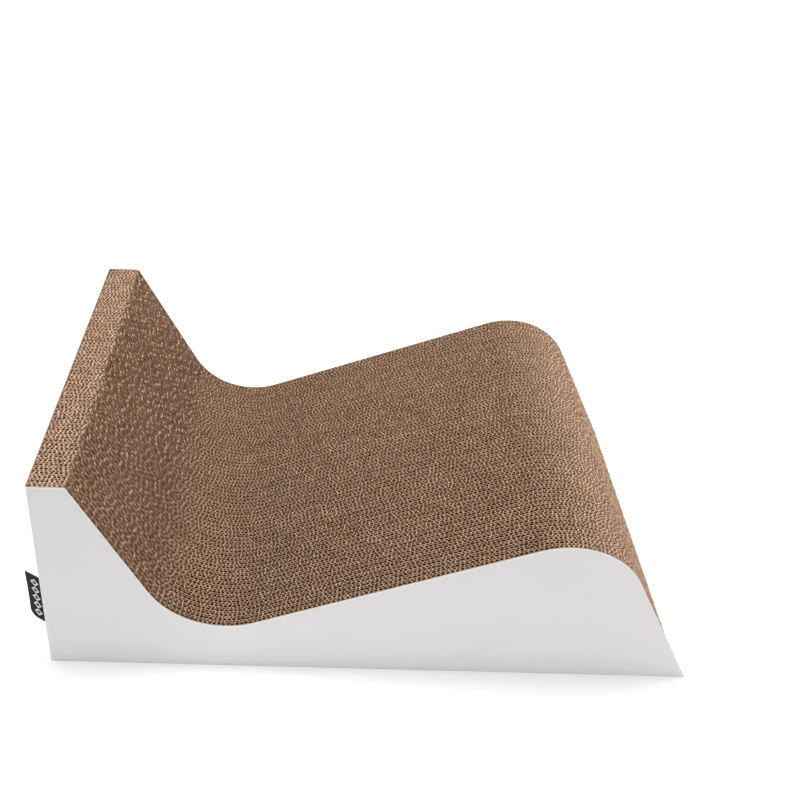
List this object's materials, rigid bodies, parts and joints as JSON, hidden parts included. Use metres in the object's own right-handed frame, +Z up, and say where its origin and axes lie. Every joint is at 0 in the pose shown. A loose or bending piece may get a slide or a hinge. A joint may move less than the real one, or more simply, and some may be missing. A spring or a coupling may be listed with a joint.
{
  "type": "cardboard cat scratcher",
  "caption": "Lounge-shaped cat scratcher: upright corrugated boards glued face to face, with a backrest, a hollow and a hump on top, in a folded white board wrap.",
  "frame": {"origin": "middle of the block's footprint, on the floor", "axes": "+X along the object from the tall backrest end to the low end, +Y across the boards, +Z up"},
  "size_m": [0.5899, 0.361, 0.202],
  "materials": {
    "kraft_board": "raw cut edges of double-wall corrugated kraft board",
    "coated_board": "thin board with a matte white coating and bare grey cut edges",
    "label_tape": "folded woven tape, matte"
  },
  "bodies": {
    "root": {"side_wrap": "coated_board", "label": "label_tape", "boards_01": "kraft_board", "boards_02": "kraft_board", "boards_03": "kraft_board", "boards_04": "kraft_board", "boards_05": "kraft_board", "boards_06": "kraft_board", "boards_07": "kraft_board", "boards_08": "kraft_board", "boards_09": "kraft_board", "boards_10": "kraft_board", "boards_11": "kraft_board", "boards_12": "kraft_board", "boards_13": "kraft_board", "boards_14": "kraft_board", "boards_15": "kraft_board", "boards_16": "kraft_board", "boards_17": "kraft_board", "boards_18": "kraft_board", "boards_19": "kraft_board", "boards_20": "kraft_board", "boards_21": "kraft_board", "boards_22": "kraft_board", "boards_23": "kraft_board", "boards_24": "kraft_board", "boards_25": "kraft_board", "boards_26": "kraft_board", "boards_27": "kraft_board", "boards_28": "kraft_board", "boards_29": "kraft_board", "boards_30": "kraft_board", "boards_31": "kraft_board", "boards_32": "kraft_board", "boards_33": "kraft_board", "boards_34": "kraft_board", "boards_35": "kraft_board"}
  },
  "joints": []
}
